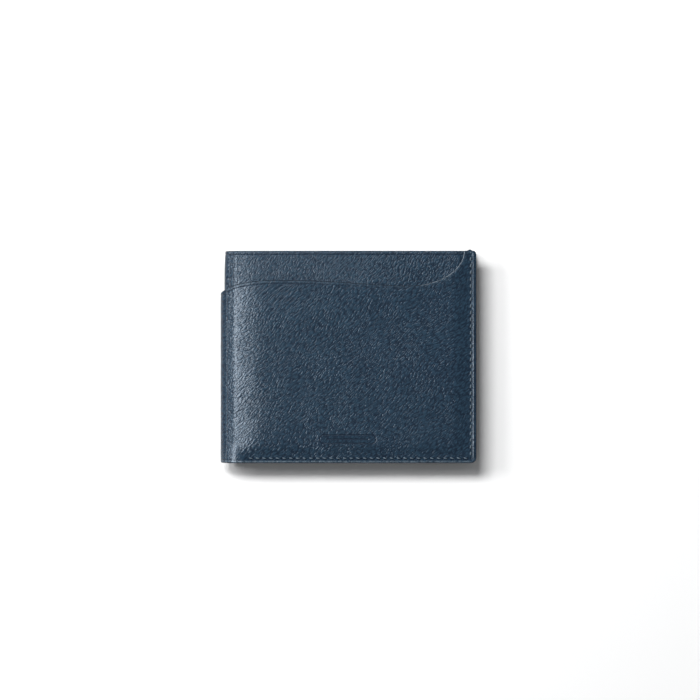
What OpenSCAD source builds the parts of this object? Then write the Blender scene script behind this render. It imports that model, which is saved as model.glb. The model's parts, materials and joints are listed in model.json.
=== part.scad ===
// Two-fold leather wallet, lying closed on its back cover, in millimetres.
// +X runs from the spine to the stitched free edge, +Y towards the pocket mouths, +Z up.
// The origin is the centre of the footprint, on the surface that the back cover rests on.
//
// The back half and the front half are mirror images about the middle plane.
// The layers that pass round the spine are cut into three strips, each in its own body.
// Four hinge lines lie in the outer face of the spine, and share the half turn of the fold.

/* [Overall] */
// Width of the closed wallet, spine to free edge
closed_w = 115; // [98:1:138]
// Height from the bottom edge to the tip of the pocket horn
body_h = 95.6; // [82:0.2:115]
// Distance that the pocket horn stands above the cover's top edge
horn_rise = 0.6; // [0.2:0.1:1.5]

/* [Outer leather] */
// Thickness of the outer pocket leather
pocket_t = 1.2; // [0.9:0.1:1.8]
// Room in the outer pocket, between its leather and the cover
pocket_gap = 0.3; // [0.2:0.1:1.2]
// Thickness of the cover leather
cover_t = 0.9; // [0.7:0.1:1.4]
// Thickness of the board glued behind the cover leather
board_t = 0.4; // [0.3:0.1:0.8]
// Thickness of the textile linings
lining_t = 0.3; // [0.2:0.05:0.5]
// Corner radius at the free edge
corner_r = 2.4; // [1:0.2:4]

/* [Outer pocket edge] */
// Depth of the pocket edge below the cover's top edge, at its crest
crest_drop = 13.2; // [8:0.1:24]
// Distance from the start of the spine's bend to the crest
crest_x = 16.8; // [8:0.1:25]
// Further drop from the crest to the lowest point of the edge
trough_drop = 2.5; // [0:0.1:5]
// Further drop from the crest to the edge at the middle of the spine
spine_drop = 5.7; // [0:0.1:8]
// Width of the sweep that rises from the trough to the horn
sweep_w = 24.5; // [12:0.5:30]
// Width of the horn at the cover's top edge
horn_w = 5.5; // [4:0.1:9]

/* [Note compartments] */
// Room in each note compartment
note_gap = 0.2; // [0.15:0.05:0.6]
// Thickness of the divider between the two compartments
divider_t = 0.5; // [0.3:0.1:0.8]
// Depth of the divider's top edge below the cover's
divider_drop = 2.7; // [1:0.1:5]

/* [Card pockets] */
// Thickness of the inner panel that carries the card pockets
inner_t = 0.7; // [0.6:0.1:1.2]
// Depth of the inner panel's top edge below the cover's
inner_drop = 5.2; // [3:0.1:9]
// Thickness of the two rear card pockets
card_t = 0.6; // [0.6:0.05:0.9]
// Thickness of the front card pocket
front_t = 0.7; // [0.6:0.1:1.2]
// Room between one card pocket and the next
card_gap = 0.1; // [0.05:0.05:0.3]
// Height of the front card pocket
front_pocket_h = 48; // [40:0.5:54]
// Step from one card pocket's lip to the next
lip_step = 13; // [9:0.5:14]
// Height of the full-width lip of a rear card pocket
lip_h = 15.5; // [14.5:0.5:18]
// Height of a rear card pocket, from its lip to its foot
tee_h = 42; // [36:0.5:46]
// Cut-in on each side of a rear card pocket, under its lip
tee_inset = 7; // [4:0.5:10]
// Set-back of the card pockets from the start of the spine's bend
inner_setback = 1; // [0.5:0.1:4]

/* [Stitching] */
// Diameter of the thread
thread_d = 0.45; // [0.3:0.05:0.6]
// Distance from one stitch to the next
stitch_pitch = 3; // [2.4:0.1:4]
// Length of thread that shows in each stitch
stitch_len = 2.2; // [1.6:0.1:2.2]
// Distance from the edge to the stitch line
stitch_inset = 2.2; // [1.8:0.1:3]
// Width of the groove that the thread lies in
groove_w = 0.8; // [0.7:0.05:1.2]
// Depth of the groove on the outside
groove_depth = 0.5; // [0.4:0.05:0.7]
// Depth of the groove on the inside
inner_groove_depth = 0.3; // [0.2:0.05:0.35]

/* [Fit] */
// Gap left at each hinge line between neighbouring strips
hinge_gap = 0.06; // [0.03:0.01:0.15]
// Room between the closed wallet's two inner faces and its middle plane
middle_gap = 0.3; // [0.2:0.05:1]

/* [Hidden] */
$fn = 96;
thread_fn = 16;
past = 1;
BACK = "back";
FRONT = "front";
STRIPS = ["lower", "middle", "upper"];
HINGES = len(STRIPS) + 1;
strip_turn = 180 / HINGES;

// Distance of each layer's outer side from the outer face of its half
z_cover = pocket_t + pocket_gap;
z_board = z_cover + cover_t;
z_cover_lining = z_board + board_t;
z_divider = z_cover_lining + lining_t + note_gap;
z_inner_lining = z_divider + divider_t + note_gap;
z_inner = z_inner_lining + lining_t;
z_card_rear = z_inner + inner_t + card_gap;
z_card_middle = z_card_rear + card_t + card_gap;
z_card_front = z_card_middle + card_t + card_gap;
half_t = z_card_front + front_t + middle_gap;
closed_t = 2 * half_t;

// Outline
x_free = closed_w / 2;
x_bend = half_t - closed_w / 2;
x_inner = x_bend + inner_setback;
y_low = -body_h / 2;
y_horn = body_h / 2;
y_cover = y_horn - horn_rise;
y_divider = y_cover - divider_drop;
y_inner = y_cover - inner_drop;
y_front_lip = y_low + front_pocket_h;
y_middle_lip = y_front_lip + lip_step;
y_rear_lip = y_middle_lip + lip_step;

// Outer pocket edge
y_crest = y_cover - crest_drop;
y_trough = y_crest - trough_drop;
x_crest = x_bend + crest_x;
x_horn = x_free - horn_w;
x_trough = x_horn - sweep_w;
quarter_bend = half_t * PI / 2;
wave_steps = 20;
sweep_steps = 16;
bend_steps = 16;
horn_corner_r = horn_w / 2;

// Stitch lines
x_stitch = x_free - stitch_inset;
y_stitch = y_low + stitch_inset;
x_seam = x_inner + stitch_inset;
y_seam_top = y_inner - stitch_inset;
y_side_top = y_horn - stitch_inset;

// Height of the pocket edge over the spine, at a distance along the leather from the middle of the spine
function spine_edge(s) = y_crest - spine_drop * pow(max(0, 1 - s / (quarter_bend + crest_x)), 2);
// Height of the pocket edge over a half, left of the trough
function wave_edge(x) =
    x < x_crest
        ? spine_edge(x - x_bend + quarter_bend)
        : y_trough + trough_drop * (1 + cos(180 * pow((x - x_crest) / (x_trough - x_crest), 1.3))) / 2;

// Points of a quarter turn about c, from the angle a0
function corner_points(c, r, a0, turn = 90, steps = 8) =
    [for (i = [0:steps]) c + r * [cos(a0 + turn * i / steps), sin(a0 + turn * i / steps)]];

// A piece of the back half, or its mirror image in the front half
module on_half(side) {
    if (side == FRONT)
        translate([0, 0, closed_t]) mirror([0, 0, 1]) children();
    else
        children();
}

// Flat plate from x0 to the free edge, with its free corners rounded
module plate(x0, y0, y1, z, t, r = corner_r) {
    translate([0, 0, z]) linear_extrude(t) union() {
        translate([x0, y0]) square([x_free - r - x0, y1 - y0]);
        translate([x_free - r, y0 + r]) square([r, y1 - y0 - 2 * r]);
        for (y = [y0 + r, y1 - r]) translate([x_free - r, y]) circle(r);
    }
}

// Part of a layer's turn round the spine, between two angles counted from the back cover
module bend(z, t, y0, y1, a0, a1) {
    translate([x_bend, 0, half_t]) rotate([-90, 0, 0]) rotate([0, 0, 90 + a0])
        rotate_extrude(angle = a1 - a0) translate([half_t - z - t, y0]) square([t, y1 - y0]);
}

// The angle that leaves half a hinge gap at the outer face of a layer
function gap_angle(z) = hinge_gap / 2 / (half_t - z) * 180 / PI;

// The stub of a layer that stays with its half, as far as the first hinge line
module bend_stub(z, t, y0, y1) {
    bend(z, t, y0, y1, 0, strip_turn / 2 - gap_angle(z));
}

// One strip of a layer, between two hinge lines
module bend_strip(z, t, y0, y1, i) {
    bend(z, t, y0, y1, strip_turn * (i + 0.5) + gap_angle(z), strip_turn * (i + 1.5) - gap_angle(z));
}

// A layer that passes round the spine: its plate and its stub
module wrapped_layer(y1, z, t) {
    plate(x_bend, y_low, y1, z, t);
    bend_stub(z, t, y_low, y1);
}

// Groove along a stitch line, cut from z down to z + depth, or up to z - depth where depth is negative
module groove_x(x0, x1, y, z, depth) {
    translate([x0, y - groove_w / 2, min(z, z + depth) - (depth < 0 ? 0 : past)])
        cube([x1 - x0, groove_w, abs(depth) + past]);
}

module groove_y(x, y0, y1, z, depth) {
    translate([x - groove_w / 2, y0, min(z, z + depth) - (depth < 0 ? 0 : past)])
        cube([groove_w, y1 - y0, abs(depth) + past]);
}

module stitch_x(x, y, z) {
    translate([x - stitch_len / 2, y, z]) rotate([0, 90, 0])
        cylinder(d = thread_d, h = stitch_len, $fn = thread_fn);
}

module stitch_y(x, y, z) {
    translate([x, y + stitch_len / 2, z]) rotate([90, 0, 0])
        cylinder(d = thread_d, h = stitch_len, $fn = thread_fn);
}

// Centres of the stitches on a line from a to b
function stitch_places(a, b) =
    let (n = floor((b - a) / stitch_pitch), spare = (b - a - (n - 1) * stitch_pitch) / 2)
    [for (i = [0:n - 1]) a + spare + i * stitch_pitch];

// Outer pocket: the wave along its mouth, the sweep up to the horn, and the horn's rounded tip
module outer_pocket_outline() {
    polygon(concat(
        [[x_bend, y_low], [x_free - corner_r, y_low]],
        corner_points([x_free - corner_r, y_low + corner_r], corner_r, -90),
        corner_points([x_free - horn_corner_r, y_horn - horn_corner_r], horn_corner_r, 0),
        [[x_horn + horn_rise, y_horn], [x_horn, y_cover]],
        [for (i = [1:sweep_steps])
            let (a = 90 * i / sweep_steps)
            [x_trough + sweep_w * cos(a), y_cover - (y_cover - y_trough) * sin(a)]],
        [for (i = [wave_steps - 1:-1:0])
            let (x = x_bend + (x_trough - x_bend) * i / wave_steps)
            [x, wave_edge(x)]]
    ));
}

// Everything below the pocket edge round the spine
module below_spine_edge() {
    translate([x_bend - half_t - past, 0, 0]) rotate([90, 0, 90]) linear_extrude(half_t + past)
        polygon(concat(
            [[y_low - past, closed_t + past], [y_low - past, -past]],
            [[spine_edge(quarter_bend), -past]],
            [for (i = [0:bend_steps])
                let (a = 180 * i / bend_steps)
                [spine_edge(half_t * abs(a - 90) * PI / 180), half_t - half_t * cos(a)]],
            [[spine_edge(quarter_bend), closed_t + past]]
        ));
}

module outer_pocket(side) {
    color("midnightblue") on_half(side) difference() {
        union() {
            linear_extrude(pocket_t) outer_pocket_outline();
            intersection() {
                bend_stub(0, pocket_t, y_low, y_horn);
                below_spine_edge();
            }
        }
        groove_y(x_stitch, y_stitch - groove_w / 2, y_horn + past, 0, groove_depth);
        groove_x(x_bend, x_stitch, y_stitch, 0, groove_depth);
    }
}

module outer_pocket_spine(i) {
    color("midnightblue") intersection() {
        bend_strip(0, pocket_t, y_low, y_horn, i);
        below_spine_edge();
    }
}

module cover(side) {
    color("darkslateblue") on_half(side) wrapped_layer(y_cover, z_cover, cover_t);
}

// The cover leather is left thicker over the spine, where the board is missing behind it
module cover_spine(i) {
    color("darkslateblue") bend_strip(z_cover, cover_t + board_t, y_low, y_cover, i);
}

module cover_board(side) {
    color("tan") on_half(side) wrapped_layer(y_cover, z_board, board_t);
}

module cover_lining(side) {
    color("slategray") on_half(side) wrapped_layer(y_cover, z_cover_lining, lining_t);
}

module cover_lining_spine(i) {
    color("slategray") bend_strip(z_cover_lining, lining_t, y_low, y_cover, i);
}

module note_divider(side) {
    color("dimgray") on_half(side) wrapped_layer(y_divider, z_divider, divider_t);
}

module note_divider_spine(i) {
    color("dimgray") bend_strip(z_divider, divider_t, y_low, y_divider, i);
}

module inner_lining(side) {
    color("slategray") on_half(side) wrapped_layer(y_inner, z_inner_lining, lining_t);
}

module inner_lining_spine(i) {
    color("slategray") bend_strip(z_inner_lining, lining_t, y_low, y_inner, i);
}

// Grooves of both upright stitch lines, in the inner side of a layer
module side_grooves(z, y0, y1) {
    groove_y(x_stitch, y0, y1, z, -inner_groove_depth);
    groove_y(x_seam, y0, y1, z, -inner_groove_depth);
}

module inner_panel(side) {
    color("midnightblue") on_half(side) difference() {
        plate(x_inner, y_low, y_inner, z_inner, inner_t);
        side_grooves(z_inner + inner_t, y_rear_lip, y_inner + past);
    }
}

// Rear card pocket: a lip of full width over a narrower foot
module card_tee(y_lip, z, y_next) {
    difference() {
        union() {
            translate([x_inner, y_lip - lip_h, z]) cube([x_free - x_inner, lip_h, card_t]);
            translate([x_inner + tee_inset, y_lip - tee_h, z])
                cube([x_free - x_inner - 2 * tee_inset, tee_h, card_t]);
        }
        side_grooves(z + card_t, y_next, y_lip + past);
    }
}

module card_pocket_rear(side) {
    color("navy") on_half(side) card_tee(y_rear_lip, z_card_rear, y_middle_lip);
}

module card_pocket_middle(side) {
    color("navy") on_half(side) card_tee(y_middle_lip, z_card_middle, y_front_lip);
}

module card_pocket_front(side) {
    z_face = z_card_front + front_t;
    color("navy") on_half(side) difference() {
        translate([0, 0, z_card_front]) linear_extrude(front_t) union() {
            translate([x_inner, y_low]) square([x_free - corner_r - x_inner, front_pocket_h]);
            translate([x_free - corner_r, y_low + corner_r]) square([corner_r, front_pocket_h - corner_r]);
            translate([x_free - corner_r, y_low + corner_r]) circle(corner_r);
        }
        side_grooves(z_face, y_stitch - groove_w / 2, y_front_lip + past);
        groove_x(x_seam, x_stitch, y_stitch, z_face, -inner_groove_depth);
    }
}

module outer_stitching(side) {
    z = groove_depth - thread_d / 2;
    color("steelblue") on_half(side) {
        for (y = stitch_places(y_stitch, y_side_top)) stitch_y(x_stitch, y, z);
        for (x = stitch_places(x_bend, x_stitch)) stitch_x(x, y_stitch, z);
    }
}

// The face that a stitch on an upright line lies on: each lip steps down to the layer behind it
function face_level(y) =
    y + stitch_len / 2 < y_front_lip ? z_card_front + front_t
    : y + stitch_len / 2 < y_middle_lip ? z_card_middle + card_t
    : y + stitch_len / 2 < y_rear_lip ? z_card_rear + card_t
    : z_inner + inner_t;

// A stitch whose thread crosses a lip is left out: there the thread passes down behind the lip
function crosses_lip(y) =
    len([for (lip = [y_front_lip, y_middle_lip, y_rear_lip]) if (abs(y - lip) <= stitch_len / 2) lip]) > 0;

module inner_stitching(side) {
    rise = inner_groove_depth - thread_d / 2;
    color("steelblue") on_half(side) {
        for (x = [x_stitch, x_seam], y = stitch_places(y_stitch, y_seam_top))
            if (!crosses_lip(y)) stitch_y(x, y, face_level(y) - rise);
        for (x = stitch_places(x_seam, x_stitch))
            stitch_x(x, y_stitch, z_card_front + front_t - rise);
    }
}

module half_nodes(side) {
    outer_pocket(side);
    cover(side);
    cover_board(side);
    cover_lining(side);
    note_divider(side);
    inner_lining(side);
    inner_panel(side);
    card_pocket_rear(side);
    card_pocket_middle(side);
    card_pocket_front(side);
    outer_stitching(side);
    inner_stitching(side);
}

module strip_nodes(i) {
    outer_pocket_spine(i);
    cover_spine(i);
    cover_lining_spine(i);
    note_divider_spine(i);
    inner_lining_spine(i);
}

for (side = [BACK, FRONT]) half_nodes(side);
for (i = [0:len(STRIPS) - 1]) strip_nodes(i);
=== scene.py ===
"""Looks of a closed two-fold leather wallet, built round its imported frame.

Every leather, board and lining layer is a closed sheet, worked out in the flat as a grid of points and then laid
into the wallet: flat over a cover, and round the spine where the layer goes on to the other half. Lengths are in
millimetres until a mesh is made. A layer's depth is counted from the outer face of its own half.
"""
import json
import logging
import math
from dataclasses import dataclass, field
from enum import Enum

import bpy
import numpy as np
from mathutils import Matrix, Vector


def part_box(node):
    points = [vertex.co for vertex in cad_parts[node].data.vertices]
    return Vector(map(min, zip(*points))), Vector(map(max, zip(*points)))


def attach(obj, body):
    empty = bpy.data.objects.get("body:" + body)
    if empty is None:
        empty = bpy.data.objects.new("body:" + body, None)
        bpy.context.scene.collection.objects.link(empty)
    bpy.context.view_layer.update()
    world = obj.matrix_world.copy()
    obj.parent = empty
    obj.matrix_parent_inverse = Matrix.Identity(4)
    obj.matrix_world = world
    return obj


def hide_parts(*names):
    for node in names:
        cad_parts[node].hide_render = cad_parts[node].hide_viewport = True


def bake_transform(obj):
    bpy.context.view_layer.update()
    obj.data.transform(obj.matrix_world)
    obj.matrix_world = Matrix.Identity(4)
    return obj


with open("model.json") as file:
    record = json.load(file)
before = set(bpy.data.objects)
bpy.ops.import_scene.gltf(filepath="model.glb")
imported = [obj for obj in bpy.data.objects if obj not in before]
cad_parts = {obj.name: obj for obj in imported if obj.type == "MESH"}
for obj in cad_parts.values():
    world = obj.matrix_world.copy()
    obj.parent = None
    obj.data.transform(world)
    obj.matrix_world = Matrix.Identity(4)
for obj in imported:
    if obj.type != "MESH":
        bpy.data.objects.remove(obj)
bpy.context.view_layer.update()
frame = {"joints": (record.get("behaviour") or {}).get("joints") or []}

MM = 0.001
FLAT_MAP = "cut"
EDGE_NAME = "edge"
log = logging.getLogger("wallet")


class Side(Enum):
    """The two halves of the wallet."""

    BACK = "back"
    FRONT = "front"

    @property
    def half_body(self) -> str:
        """The body that this half's flat pieces ride on."""
        return f"{self.value}_half"

    @property
    def spine_body(self) -> str:
        """The first strip of the spine, next to this half."""
        return "spine_lower" if self is Side.BACK else "spine_upper"

    @property
    def sign(self) -> int:
        """Which way the leather's own length is counted from the middle of the spine."""
        return -1 if self is Side.BACK else 1


class Grade(Enum):
    """How finely a panel is meshed: steps along its width and its height."""

    SHOWN = (120, 96)
    INNER = (64, 48)


# --------------------------------------------------------------------------- arithmetic on arrays


def smooth(value: np.ndarray, low: float, high: float) -> np.ndarray:
    """A soft step.

    Args:
        value: Any array.
        low: Where the step starts, with 0.
        high: Where it ends, with 1.

    Returns:
        3t^2 - 2t^3, where t runs from 0 at low to 1 at high and is held outside them.
    """
    t = np.clip((value - low) / (high - low), 0.0, 1.0)
    return t * t * (3.0 - 2.0 * t)


def bell(value: np.ndarray, width: float) -> np.ndarray:
    """A bell of height 1: e to the power of minus the square of value over width."""
    return np.exp(-((value / width) ** 2))


def eased(count: int, pull: float = 0.55) -> np.ndarray:
    """Steps from 0 to 1 that crowd towards both ends: a share of even steps and a share of half a cosine wave."""
    even = np.linspace(0.0, 1.0, count + 1)
    return (1.0 - pull) * even + pull * 0.5 * (1.0 - np.cos(math.pi * even))


def arc(centre: tuple[float, float], radius: float, start: float, end: float, count: int = 10) -> np.ndarray:
    """Points of a circle about centre, between two angles in degrees."""
    angle = np.radians(np.linspace(start, end, count))
    return np.stack([centre[0] + radius * np.cos(angle), centre[1] + radius * np.sin(angle)], 1)


def along(line: np.ndarray, share: np.ndarray) -> np.ndarray:
    """Points at given shares of a polyline's length.

    Args:
        line: The polyline's points, one row each.
        share: Shares of its length, from 0 to 1.

    Returns:
        One point for each share, on straight steps between the polyline's points.
    """
    step = np.hypot(*np.diff(line, axis=0).T)
    length = np.concatenate([[0.0], np.cumsum(step)]) / step.sum()
    return np.stack([np.interp(share, length, line[:, 0]), np.interp(share, length, line[:, 1])], 1)


def ripples(x: np.ndarray, y: np.ndarray, seed: int, lengths: tuple[float, float], count: int = 28) -> np.ndarray:
    """Soft unevenness of leather that has been handled.

    The height is the mean of many plane waves. Each has its own length, direction and start, and most of them run
    across the leather's diagonal.

    Args:
        x: Places along the leather.
        y: Places up the leather.
        seed: Start of the random draw.
        lengths: Shortest and longest wave.
        count: Number of waves.

    Returns:
        Heights of about -1 to 1.
    """
    draw = np.random.default_rng(seed)
    length = draw.uniform(*lengths, count)
    turn = np.radians(draw.normal(135.0, 40.0, count))
    start = draw.uniform(0.0, 2.0 * math.pi, count)
    total = np.zeros_like(x)
    for wave in range(count):
        across = x * math.cos(turn[wave]) + y * math.sin(turn[wave])
        total += np.cos(2.0 * math.pi * across / length[wave] + start[wave])
    return total / math.sqrt(count)


# --------------------------------------------------------------------------- the wallet's sizes


@dataclass(frozen=True)
class Stack:
    """Where everything lies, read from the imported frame."""

    half: float
    bend_x: float
    free_x: float
    low_y: float
    cover_y: float
    horn_y: float
    depths: dict[str, tuple[float, float]]

    WRAPPED = ("outer_pocket", "cover", "cover_lining", "note_divider", "inner_lining")
    FLAT = ("cover_board", "inner_panel", "card_pocket_rear", "card_pocket_middle", "card_pocket_front")
    HINGES = 4

    @classmethod
    def measured(cls) -> "Stack":
        """Reads the sizes.

        A wrapped layer's depths come from its middle strip, whose outer face stands furthest from the bend's axis
        and whose inner face ends half a strip's turn to each side of it.

        Returns:
            The sizes, in millimetres.
        """
        pocket_low, pocket_high = box_mm("outer_pocket_back")
        cover_low, cover_high = box_mm("cover_back")
        half = box_mm("outer_pocket_front")[1][2] / 2.0
        half_strip = math.pi / cls.HINGES / 2.0
        hinge_x = frame["joints"][0]["pos_m"][0] / MM
        bend_x = hinge_x + half * math.sin(half_strip)
        depths = {}
        for name in cls.WRAPPED:
            low, high = box_mm(f"{name}_spine_middle")
            depths[name] = (half - (bend_x - low[0]), half - (bend_x - high[0]) / math.cos(half_strip))
        for name in cls.FLAT:
            low, high = box_mm(f"{name}_back")
            depths[name] = (low[2], high[2])
        depths["cover"] = (depths["cover"][0], depths["cover_board"][0])
        depths["cover_board"] = (depths["cover_board"][0], depths["cover_lining"][0])
        return cls(half, bend_x, cover_high[0], cover_low[1], cover_high[1], pocket_high[1], depths)

    @property
    def quarter(self) -> float:
        """Length of the outer leather from the start of the bend to the middle of the spine."""
        return self.half * math.pi / 2.0

    def flat_at(self, turn: float) -> float:
        """Place along the flat of an angle in the bend, in degrees from the start of the bend."""
        return self.bend_x - self.half * math.radians(turn)


def box_mm(node: str) -> tuple[np.ndarray, np.ndarray]:
    """Lowest and highest corner of a CAD node, in millimetres."""
    low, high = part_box(node)
    return np.array(low) / MM, np.array(high) / MM


@dataclass(frozen=True)
class Lay:
    """How the layers lie in the wallet: drawn together at the stitched edges, and round the spine."""

    stack: Stack
    seam_dip: float = 1.0
    inner_dip: float = 0.45
    free_reach: float = 11.0
    low_reach: float = 9.0
    crown: float = 0.3
    roll: float = 1.25
    roll_reach: float = 14.0
    top_roll: float = 0.6
    top_reach: float = 16.0
    spine_room: float = 0.7

    def depth(self, x: np.ndarray, y: np.ndarray, level: float) -> np.ndarray:
        """Depth of a level of the stack, at places in the flat.

        The stack thins towards the stitched bottom and free edges. A level's shift is a soft step of the distance to
        the edge, from full at the seam to none a little way in. It goes inwards for the outer levels and outwards
        for the inner ones. A shallow crown adds a share of the squared distance from the middle. Towards the bend
        the leather rolls down as a parabola, which fades out again before the middle of the spine and is half as deep
        at the bottom. Towards the open top edge it rolls down as another parabola. In the bend, the layers under the
        outer pocket stand off from it.

        Args:
            x: Places along the flat.
            y: Places up the flat.
            level: The level's depth in the CAD.

        Returns:
            Depths from the half's outer face.
        """
        s = self.stack
        free = 1.0 - smooth(s.free_x - x, 1.0, self.free_reach)
        low = (1.0 - smooth(y - s.low_y, 1.0, self.low_reach)) * smooth(x, s.bend_x - 1.0, s.bend_x + 9.0)
        drawn = 1.0 - (1.0 - free) * (1.0 - low)
        share = level / s.half
        across = np.clip((x - s.bend_x) / (s.free_x - s.bend_x), 0.0, 1.0)
        up = (y - s.low_y) / (s.cover_y - s.low_y) * 2.0 - 1.0
        crown = self.crown * (across * up * up * 0.4 + (across - 0.3) ** 2 * 0.8 * across)
        inward = np.clip((s.bend_x + self.roll_reach - x) / self.roll_reach, 0.0, None)
        roll = self.roll * inward**2 * smooth(x, s.flat_at(90.0), s.bend_x - 1.5)
        roll = roll * (0.5 + 0.5 * smooth(y - s.low_y, 0.0, 10.0))
        roll = roll + self.top_roll * np.clip((y - s.cover_y + self.top_reach) / self.top_reach, 0.0, 1.0) ** 2
        shift = drawn * (self.seam_dip * (1.0 - share) - self.inner_dip * share) + (crown + roll) * (1.0 - share)
        bend = smooth(-x, -s.bend_x - 1.0, -s.bend_x + 7.0)
        room = self.spine_room * bend * max(0.0, 1.0 - share / 0.62) * (level > s.depths["outer_pocket"][1] - 0.01)
        return level + shift + room

    def place(self, side: Side, x: np.ndarray, y: np.ndarray, depth: np.ndarray) -> np.ndarray:
        """Lays points of the flat into the wallet.

        Right of the start of the bend, a point keeps its place along the flat, and its height is its depth. Left of
        it, the distance along the flat is an arc of the outer face, and the point lies on a circle that is smaller
        by its depth. The front half is the back half turned over about the middle plane.

        Args:
            side: The half.
            x: Places along the flat.
            y: Places up the flat.
            depth: Depths from the half's outer face.

        Returns:
            Points in the frame, in millimetres, one row each.
        """
        s = self.stack
        turn = np.clip((s.bend_x - x) / s.half, 0.0, None)
        radius = s.half - depth
        along_x = np.maximum(x, s.bend_x) - radius * np.sin(turn)
        height = s.half - radius * np.cos(turn)
        if side is Side.FRONT:
            height = 2.0 * s.half - height
        return np.stack([along_x, y + np.zeros_like(height), height], 1)

    def in_bend(self, side: Side, turn: float, depth: float) -> Vector:
        """A point of the bend in metres, at an angle from the start of the bend and a depth."""
        x = np.array([self.stack.flat_at(turn)])
        return Vector(self.place(side, x, np.zeros(1), np.array([depth]))[0] * MM)


# --------------------------------------------------------------------------- outlines in the flat


@dataclass(frozen=True)
class Outline:
    """Outline of a piece in the flat, and the lines that run inside it at a distance.

    The border is walked against the clock: along the bottom, up the free edge, back along the mouth, and down the
    left side unless the piece is cut there and goes on.
    """

    left: float
    right: float
    low: float
    high: float
    low_radius: float
    high_radius: float
    cut_left: bool

    TIGHTEST = 0.25

    def top(self, x: np.ndarray) -> np.ndarray:
        """Height of the mouth's edge at places along the flat."""
        return np.full_like(x, self.high)

    def slant(self, x: np.ndarray) -> np.ndarray:
        """Length of the mouth's edge for each millimetre along the flat, so 1 where the edge is level."""
        rise = (self.top(x + 0.05) - self.top(x - 0.05)) / 0.1
        return np.sqrt(1.0 + rise * rise)

    def bottom_line(self, inset: float) -> np.ndarray:
        """The bottom from the left to the middle of the free corner, at a distance inside the outline."""
        radius = max(self.low_radius - inset, self.TIGHTEST)
        corner = (self.right - inset - radius, self.low + inset + radius)
        start = self.left if self.cut_left else self.left + inset
        return np.concatenate([[[start, self.low + inset]], arc(corner, radius, 270.0, 315.0)])

    def free_line(self, inset: float) -> np.ndarray:
        """The free edge, from the middle of the low corner to the middle of the high one."""
        low, high = max(self.low_radius - inset, self.TIGHTEST), max(self.high_radius - inset, self.TIGHTEST)
        x = self.right - inset
        return np.concatenate([
            arc((x - low, self.low + inset + low), low, 315.0, 360.0),
            arc((x - high, self.high - inset - high), high, 0.0, 45.0),
        ])

    def mouth_line(self, inset: float) -> np.ndarray:
        """The mouth, from the middle of the high corner back to the left."""
        radius = max(self.high_radius - inset, self.TIGHTEST)
        corner = (self.right - inset - radius, self.high - inset - radius)
        end = self.left if self.cut_left else self.left + inset
        return np.concatenate([arc(corner, radius, 45.0, 90.0), [[end, self.high - inset]]])

    def left_line(self, inset: float) -> np.ndarray:
        """The left side, from the mouth down to the bottom."""
        x = self.left + (0.0 if self.cut_left else inset)
        top = self.mouth_line(inset)[-1][1]
        return np.array([[x, top], [x, self.low + inset]])


@dataclass(frozen=True)
class TeeOutline(Outline):
    """A card pocket behind the front one: a lip of full width over a narrower foot."""

    lip: float = 15.5
    narrowing: float = 7.0
    slope: float = 3.0

    def side(self, inset: float, mirror: bool) -> np.ndarray:
        """One side from the foot up to the lip: upright, out on a short slope, and upright again."""
        shoulder = self.high - self.lip
        x = np.array([self.narrowing + inset, self.narrowing + inset, inset, inset])
        y = np.array([self.low + inset, shoulder - self.slope, shoulder, self.high - inset])
        return np.stack([self.left + x if mirror else self.right - x, y], 1)

    def bottom_line(self, inset: float) -> np.ndarray:
        """The foot's bottom edge."""
        return np.stack([self.side(inset, True)[0], self.side(inset, False)[0]])

    def free_line(self, inset: float) -> np.ndarray:
        """The side towards the free edge."""
        return self.side(inset, False)

    def mouth_line(self, inset: float) -> np.ndarray:
        """The lip's edge."""
        return np.stack([self.side(inset, False)[-1], self.side(inset, True)[-1]])

    def left_line(self, inset: float) -> np.ndarray:
        """The side towards the spine, from the lip down."""
        return self.side(inset, True)[::-1]


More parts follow.
